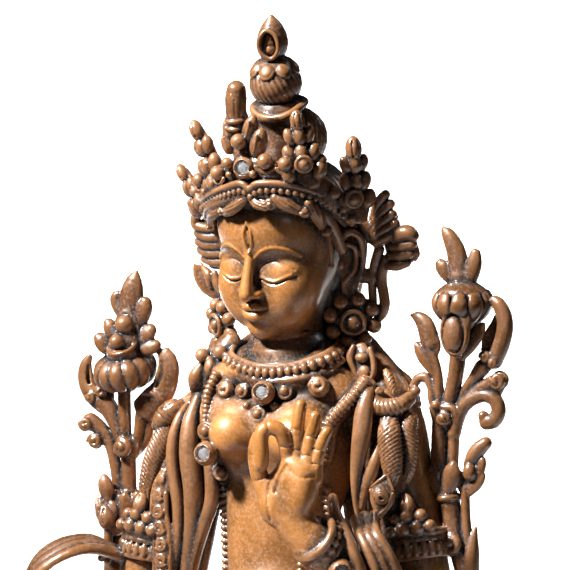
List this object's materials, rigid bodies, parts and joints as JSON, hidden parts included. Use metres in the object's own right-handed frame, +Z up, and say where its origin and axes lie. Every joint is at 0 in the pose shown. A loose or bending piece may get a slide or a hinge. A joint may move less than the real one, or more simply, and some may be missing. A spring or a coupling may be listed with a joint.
{
  "type": "tara figure",
  "caption": "Seated Tara in full lotus on an oval double lotus plinth, one hand raised and one open on the knee, with a lotus spray at each shoulder; patinated cast copper alloy",
  "frame": {"origin": "the middle of the plinth's underside, on the surface that the statue stands on", "axes": "+Z is up; the figure faces -Y, and its own left is +X"},
  "size_m": [0.214, 0.158, 0.3333],
  "materials": {
    "figure_metal": "dark brown patina rubbed to warm copper on the high places",
    "spray_metal": "brown patina rubbed to copper on the edges",
    "plinth_metal": "dark brown patina",
    "clear_stone": "polished clear cut stone"
  },
  "bodies": {
    "root": {"tara_figure": "figure_metal", "lotus_plinth": "plinth_metal", "right_lotus_spray": "spray_metal", "left_lotus_spray": "spray_metal", "crown_stone": "clear_stone", "choker_stone": "clear_stone", "necklace_stone": "clear_stone", "bracelet_stone": "clear_stone"}
  },
  "joints": []
}
